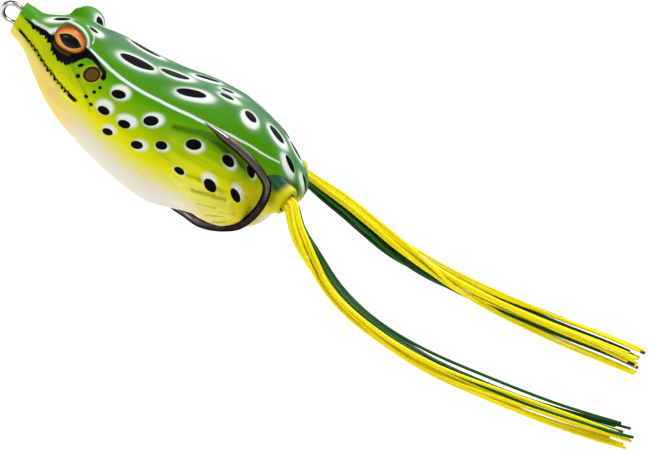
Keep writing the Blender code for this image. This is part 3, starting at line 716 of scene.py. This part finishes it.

# %% [markdown]
# ## The eyes
# Each eye is a moulded dome: an orange iris, darker and redder to its rim, and a black almond pupil lying
# along the head, with painted shade in olive on its lower part. The dome is a stretched ball whose pole faces
# out, so rings round the pupil are rings of the grid, and the pupil stands a little proud.

# %% Eye domes
def eye_dome(name, side, material):
    """A ball stretched to the eye's radii: polar angle runs from the outer pole to the inner one."""
    polar = np.linspace(0.02, np.pi - 0.02, 72)[:, None]
    turn = np.linspace(0, 2 * np.pi, 96, endpoint=False)[None, :]
    u, v = np.sin(polar) * np.cos(turn), np.sin(polar) * np.sin(turn)
    out = np.broadcast_to(np.cos(polar), u.shape)
    lean = math.radians(16)
    along, up = u * EYE_RADII[0], v * EYE_RADII[2]
    almond = np.abs(up - 0.20) - 1.15 * np.maximum(1 - np.abs(along / 2.25) ** 2.2, -3)
    proud = 0.14 * (1 - ease(almond, -0.35, 0.10)) * (out > 0)
    depth = out * EYE_RADII[1] + proud - 0.10
    y = EYE[1] + depth * math.cos(lean) - up * math.sin(lean) * 0.35
    z = EYE[2] + up * math.cos(lean * 0.5) + depth * math.sin(lean) * 0.30
    grid = np.stack([EYE[0] + along, side * y, z], axis=-1)
    marks = {"almond": np.where(out > 0, almond, 2.0), "from_pole": np.hypot(u, v) * np.ones_like(out),
             "height": up}
    return surface(name, grid, material, marks)


iris = Finish("eye_iris", coat_weight=0.2, coat_roughness=0.05, ior=1.4, specular_ior_level=0.15)
rings = iris.value("from_pole") + (iris.noise(0.5) - 0.5) * 0.12
tone = iris.ramp(rings, ((0.0, (0.82, 0.35, 0.06)), (0.60, (0.84, 0.36, 0.07)), (0.78, (0.74, 0.22, 0.03)),
                         (0.92, (0.42, 0.060, 0.010)), (1.0, (0.16, 0.02, 0.01))))
# Painted shade: the lower part of the dome darkens to olive.
low = (iris.value("height") * -1.0 + (iris.noise(0.8) - 0.5) * 0.7)
tone = iris.mix(tone, (0.16, 0.10, 0.006), low.step(1.05, 1.9) * 0.95)
pupil = iris.value("almond")
tone = iris.mix(tone, (0.86, 0.52, 0.10), pupil.step(0.42, 0.08) * 0.5)
tone = iris.mix(tone, (0.002, 0.002, 0.003), pupil.step(0.04, -0.04))
iris.set(base_color=tone, roughness=0.22 + iris.noise(0.3) * 0.08, normal=iris.bump(iris.noise(0.4), 0.02, 0.5))
for side, word in ((1, "left"), (-1, "right")):
    made = eye_dome(word + "_eye_dome", side, iris.material)
    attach(made, "crown")
    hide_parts(word + "_eye")
print("eyes on the crown")

# %% [markdown]
# ## Wire: the hook and the line tie
# Both are round wire bent over a former. A circle is carried along a smooth route; near the two points of the
# hook the radius falls to nothing over a few millimetres, as the points are ground.

# %% The double hook
HOOK_WIRE, SHANK_HALF = 1.55, 1.1
# share of the body's length, height, distance from the middle plane
ONE_WIRE = np.array((
    (0.235, 0.0, 1.1), (0.262, -0.1, 1.1), (0.30, -1.7, 1.1), (0.36, -5.1, 1.1), (0.42, -8.3, 1.1),
    (0.48, -11.3, 1.1), (0.54, -14.0, 1.1), (0.60, -15.7, 1.15), (0.66, -16.5, 1.3), (0.717, -16.65, 1.7),
    (0.76, -16.5, 2.7), (0.80, -15.4, 4.0), (0.839, -13.5, 5.5), (0.871, -11.0, 7.3), (0.890, -7.5, 9.1),
    (0.896, -3.7, 10.3), (0.886, -0.6, 10.8), (0.858, 1.0, 10.9), (0.789, 2.8, 11.0), (0.708, 3.9, 11.2),
    (0.634, 4.6, 11.3)))
left_half = np.stack([back_of(ONE_WIRE[:, 0] * BODY_LENGTH), ONE_WIRE[:, 2], ONE_WIRE[:, 1]], axis=1)
bow_turn = np.radians(np.arange(30, 180, 30))
bow_x = -14.1
bow = np.stack([bow_x + SHANK_HALF * (np.sin(bow_turn) - 1) + 0.3, SHANK_HALF * np.cos(bow_turn),
                np.zeros(5)], axis=1)
right_half = left_half * (1, -1, 1)
# The right prong is bent a touch lower than the left.
right_half[:, 2] -= 0.45 * ease(right_half[:, 0], -53.0, -48.0) * (right_half[:, 1] < -10)
wire = smooth_route(np.vstack([left_half[::-1], bow, right_half]), 420)
from_end = np.minimum(lengths(wire), lengths(wire)[-1] - lengths(wire))
HOOK_GROUND = 4.6
taper = 0.05 + 0.95 * np.minimum(from_end / HOOK_GROUND, 1.0) ** 0.75
hook_grid = tube(wire, HOOK_WIRE / 2 * taper, 28)

# Painted highlight: a pale streak along each wire's outer, upper side, set by these numbers.
hook_out = hook_grid - wire[:, None]
hook_out /= np.maximum(np.linalg.norm(hook_out, axis=-1, keepdims=True), 1e-6)
away = np.where(hook_grid[..., 1] < 0, -1.0, 1.0)
rubbed = hook_out[..., 1] * away * 0.80 + hook_out[..., 2] * 0.60

nickel = Finish("black_nickel_wire", metallic=1.0, coat_weight=0.05, coat_roughness=0.06,
                specular_tint=(0.35, 0.32, 0.32))
worn = nickel.noise(1.6, 4.0, 0.65)
drawn = nickel.noise(0.35, 2.0)
tone = nickel.mix((0.012, 0.009, 0.009), (0.034, 0.026, 0.022), worn.step(0.35, 0.80))
# The pale streak is a painted highlight.
painted_highlight = (nickel.value("rubbed") + (worn - 0.5) * 0.25).step(0.60, 0.96)
tone = nickel.mix(tone, (0.280, 0.235, 0.205), painted_highlight * 0.9)
tone = nickel.mix(tone, (0.20, 0.17, 0.17), nickel.value("ground").step(0.35, 1.0) * 0.5)
nickel.set(base_color=tone, roughness=0.14 + drawn * 0.08 + worn * 0.08,
           normal=nickel.bump(drawn * 0.3 + worn * 0.5, 0.02, 0.6))
ground = np.broadcast_to((1 - np.minimum(from_end / HOOK_GROUND, 1.0))[:, None], hook_grid.shape[:2])
hook = surface("hook_wire", hook_grid, nickel.material, {"ground": ground, "rubbed": rubbed})
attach(hook, "harness")
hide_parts("double_hook")
print("hook wire %.0f mm long" % lengths(wire)[-1])

# %% The line tie
TIE_RADIUS, TIE_WIRE, TIE_CLOSE = 1.66, 0.98, 0.9
loop_turn = np.radians(np.linspace(-84, 84, 13))
loop = np.stack([TIE_RADIUS * np.cos(loop_turn), 0 * loop_turn, TIE_RADIUS * np.sin(loop_turn)], axis=1)
leg_end = back_of(0.133 * BODY_LENGTH) - 3.0
lower = np.array(((leg_end, 0, -TIE_CLOSE), (-7.6, 0, -TIE_CLOSE), (-4.3, 0, -TIE_CLOSE),
                  (-2.68, 0, -1.12), (-1.6, 0, -1.45), (-0.7, 0, -1.68)))
tie_route = smooth_route(np.vstack([lower, loop, lower[::-1] * (1, 1, -1)]), 220)
bright = Finish("bright_steel_wire", metallic=1.0)
grain = bright.noise(0.25, 3.0)
tone = bright.mix((0.45, 0.45, 0.46), (0.84, 0.84, 0.83), bright.noise(1.2, 3.0).step(0.3, 0.7))
# Painted reflection: the ring's faces bright, its rims dark.
painted_reflection = (bright.value("flat") + (bright.noise(0.7) - 0.5) * 0.3).step(0.30, 0.85)
tone = bright.mix((0.035, 0.034, 0.036), tone, painted_reflection)
bright.set(base_color=tone, roughness=0.10 + grain * 0.14, normal=bright.bump(grain, 0.01, 0.6))
tie_grid = tube(tie_route, TIE_WIRE / 2, 24)
# Painted reflection: the ring's two faces are painted bright and its inner and outer rims dark.
flat = np.abs(tie_grid[..., 1] - tie_route[:, None, 1]) / (TIE_WIRE / 2)
tie = surface("tie_wire", tie_grid, bright.material, {"flat": flat})
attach(tie, "harness")
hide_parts("line_tie")
print("tie wire %.0f mm long" % lengths(tie_route)[-1])

# %% [markdown]
# ## The legs
# Each leg is a bundle of thin silicone strands that slides into its socket. A strand is a fine tube with its own
# place across the bundle. Behind the socket the bundle turns a little and each strand wanders, so it is tight at
# the socket, crossed in the middle and loose at its end. A leg is one piece.

# %% Routes of the bundles, from the sockets' mouths: millimetres back, out and up
LEG_ACROSS, LEG_START = 0.004, 1.2
LEFT_ROUTE = ((-3.9, 3.0, -2.2), (-7.6, 4.7, -4.1), (-11.2, 5.7, -5.8), (-14.5, 7.0, -6.8),
              (-18.2, 8.7, -7.4), (-22.3, 10.7, -7.5), (-28.4, 13.3, -7.2), (-36.1, 14.9, -6.6),
              (-45.5, 14.7, -5.7), (-56.5, 13.2, -4.6), (-66.4, 10.6, -3.7), (-72.5, 8.7, -3.1))
RIGHT_ROUTE = ((-4.7, -1.7, -1.0), (-9.9, -1.7, -1.6), (-15.4, -1.5, -2.5), (-21.3, -2.3, -3.7),
               (-29.0, -3.9, -4.8), (-36.5, -5.1, -5.3), (-45.9, -6.7, -5.2), (-55.2, -8.3, -4.7),
               (-65.9, -9.7, -3.7), (-74.2, -10.2, -2.9))


def leg_curve(side):
    """The middle of a bundle, from LEG_START behind the socket's face, and its mouth and direction."""
    a, b = SOCKET_IN * (1, side, 1), SOCKET_OUT * (1, side, 1)
    ahead = (b - a) / np.linalg.norm(b - a)
    route = b + np.array(LEFT_ROUTE if side > 0 else RIGHT_ROUTE)
    return smooth_route(np.vstack([b + ahead * LEG_START, route]), 160), b, ahead


def strands(curve, mouth, ahead, chosen, seed, green, spread, twist, mixing):
    """Grid of every strand: a circle carried along the curve, shifted by the strand's own place (a sunflower
    pattern) times the bundle's radius, plus slow sine drifts of its own. The whole bundle is twisted behind
    the socket, and each strand goes on turning by its own share of mixing, so they cross."""
    rng = np.random.default_rng(seed)
    start = mouth - ahead * np.linspace(2.9, 0.0, 8)[:, None]
    full = np.vstack([start, curve])
    full = evenly(full, 150)
    direction = np.gradient(full, axis=0)
    direction /= np.linalg.norm(direction, axis=1)[:, None]
    side = np.cross(direction, (0, 0, 1))
    side /= np.linalg.norm(side, axis=1)[:, None]
    above = np.cross(side, direction)
    t = np.linspace(0, 1, len(full))
    grids, hues = [], []
    for k, (px, py) in enumerate(chosen):
        phase = rng.uniform(0, 2 * np.pi, 4)
        stray = rng.uniform(0.1, 1.0)
        radius = 1.22 + 0.42 * ease(t, 0.05, 0.16) + spread * ease(t, 0.45, 1.0)
        wander = (0.26 + 0.42 * stray) * ease(t, 0.08, 0.5)
        angle = twist * ease(t, 0.02, 0.30) + mixing * rng.uniform(0, 1) * ease(t, 0.20, 0.70)
        px, py = px * np.cos(angle) - py * np.sin(angle), px * np.sin(angle) + py * np.cos(angle)
        x = px * radius + wander * (0.7 * np.sin(5.2 * t + phase[0]) + 0.3 * np.sin(13 * t + phase[1]))
        y = py * radius + wander * (0.7 * np.sin(4.6 * t + phase[2]) + 0.3 * np.sin(11 * t + phase[3]))
        droop = 0.7 if green[k] and mouth[1] < 0 else 0.2
        y -= droop * stray * np.sin(np.pi * np.clip(t / 0.7, 0, 1)) * (py < 0.1)
        cut = 1.0 - 0.045 * rng.uniform(0, 1)
        line = full + side * x[:, None] + above * y[:, None]
        line = evenly(line[: max(20, int(len(line) * cut))], 120)
        thick = 0.305 + 0.03 * rng.uniform(-1, 1)
        grids.append(tube(line, thick, 10))
        hues.append(rng.uniform(0, 1))
    return grids, np.array(hues)


def bundle(name, grids, marks, material):
    """One mesh of many closed tubes; a mark is a number for each strand, and reach runs from 0 to 1."""
    points, faces, reach = [], [], []
    base = 0
    for grid in grids:
        rows, cols = grid.shape[:2]
        index = base + np.arange(rows * cols).reshape(rows, cols)
        after = np.roll(index, -1, axis=1)
        quads = np.stack([index[:-1], index[1:], after[1:], after[:-1]], axis=-1).reshape(-1, 4)
        faces += quads.tolist() + [index[0].tolist(), index[-1][::-1].tolist()]
        points.append(grid.reshape(-1, 3))
        reach.append(np.repeat(np.linspace(0, 1, rows), cols))
        base += rows * cols
    each = [len(p) for p in points]
    kept = {key: np.repeat(values, each) for key, values in marks.items()}
    return made_of(name, np.concatenate(points), faces, {"reach": np.concatenate(reach), **kept}, material)


# %% Silicone: yellow or green by strand, each its own shade, deeper at the socket
rubber = Finish("strand_silicone", coat_weight=0.06, coat_roughness=0.2, ior=1.42, specular_ior_level=0.2)
shade = (rubber.value("hue") * 0.55 + rubber.noise(1.4, 2.0) * 0.45).step(0.15, 0.85)
sunny = rubber.mix((0.90, 0.73, 0.0), (1.0, 0.90, 0.003), shade)
sunny = rubber.mix(sunny, (0.84, 0.60, 0.002), rubber.value("reach").step(0.10, 0.0) * 0.4)
leafy = rubber.mix((0.002, 0.030, 0.003), (0.010, 0.105, 0.010), shade)
rubber.set(base_color=rubber.mix(sunny, leafy, rubber.value("green").step(0.4, 0.6)),
           roughness=0.32 + rubber.noise(0.4) * 0.14, normal=rubber.bump(rubber.noise(0.35, 2.0), 0.02, 0.6))

# %% Place the strands: a sunflower pattern shared out between the two colours
STRANDS, SPREAD = 20, 0.6
ring = np.sqrt((np.arange(STRANDS) + 0.5) / STRANDS)
golden = np.arange(STRANDS) * np.pi * (3 - math.sqrt(5))
places = np.stack([ring * np.cos(golden), ring * np.sin(golden)], axis=1)
# side, name, seed, which way the green strands lie at the socket, how many are yellow, twist, mixing
LEGS = ((1, "left", 11, (-0.93, -0.37), 13, -1.5, 0.6), (-1, "right", 23, (0.1, -1.0), 11, 0.0, -3.0))
for side, word, seed, green_way, yellows, twist, mixing in LEGS:
    curve, mouth, ahead = leg_curve(side)
    green = (np.argsort(np.argsort(places @ green_way)) >= yellows) * 1.0
    grids, hues = strands(curve, mouth, ahead, places, seed, green, SPREAD, twist, mixing)
    piece = bundle(word + "_leg_strands", grids, {"hue": hues, "green": green}, rubber.material)
    tuple(mouth * MM)
    tuple((mouth + ahead * 7.0) * MM)
    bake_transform(piece)
    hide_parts(word + "_leg")
    tuple((mouth + ahead * LEG_START) * MM)
    (curve[::4] * MM).tolist()
    print(word, "leg:", STRANDS, "strands, %.1f mm long" % lengths(curve)[-1])

# %% [markdown]
# ## The hidden parts
# The plugs, the block, the sleeve, the ballast and the bands keep their solids, because their shapes are right.
# Each still gets a finish of its own, since they show through the mouth and the belly slit.

# %% Finishes of the solids that stay
def moulded(name, dark, light, rough, grain, coat=0.0, metallic=0.0):
    """A mottled finish with a fine grain, for rubber or cast metal."""
    made = Finish(name, coat_weight=coat, metallic=metallic)
    cloud = made.noise(1.8, 4.0, 0.6)
    fine = made.noise(grain, 3.0, 0.6)
    tone = made.mix(dark, light, (cloud * 0.7 + fine * 0.3).step(0.25, 0.75))
    made.set(base_color=tone, roughness=rough + fine * 0.18, normal=made.bump(fine + cloud, 0.04, 0.8))
    return made.material


HIDDEN = {
    "nose_plug": moulded("plug_rubber", (0.10, 0.13, 0.02), (0.22, 0.26, 0.05), 0.5, 0.3),
    "belly_plug": moulded("belly_rubber", (0.52, 0.50, 0.34), (0.68, 0.66, 0.50), 0.45, 0.3, 0.2),
    "tie_block": moulded("brass_block_metal", (0.50, 0.34, 0.12), (0.68, 0.50, 0.22), 0.28, 0.2, 0.0, 1.0),
    "ballast_weight": moulded("cast_ballast", (0.13, 0.13, 0.14), (0.27, 0.27, 0.29), 0.5, 0.25, 0.0, 1.0),
    "shank_sleeve": moulded("shrink_sleeve", (0.008, 0.008, 0.009), (0.030, 0.030, 0.033), 0.45, 0.2),
    "left_leg_band": moulded("band_rubber", (0.010, 0.010, 0.010), (0.035, 0.034, 0.032), 0.55, 0.2),
    "skirt_core": moulded("gripped_strands", (0.55, 0.42, 0.002), (0.84, 0.72, 0.01), 0.4, 0.3),
}
HIDDEN["right_leg_band"] = HIDDEN["left_leg_band"]
for node, material in HIDDEN.items():
    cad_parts[node].data.materials.clear()
    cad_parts[node].data.materials.append(material)
print("finished:", sorted(HIDDEN))

# %% [markdown]
# ## The floor
# A wide pale sheet well below the lure, so that only a faint soft shade of it shows.

# %% A plain pale floor
FLOOR_LEVEL, FLOOR_HALF = -120.0, 2600.0
paper = Finish("pale_paper", roughness=0.9)
paper.set(base_color=paper.mix((0.93, 0.93, 0.93), (0.96, 0.96, 0.96), paper.noise(40.0)))
corners = [(x * FLOOR_HALF, y * FLOOR_HALF, FLOOR_LEVEL) for x, y in ((-1, -1), (1, -1), (1, 1), (-1, 1))]
floor = made_of("floor", np.array(corners), [(0, 1, 2, 3)], {}, paper.material)
print("floor at", FLOOR_LEVEL, "mm")
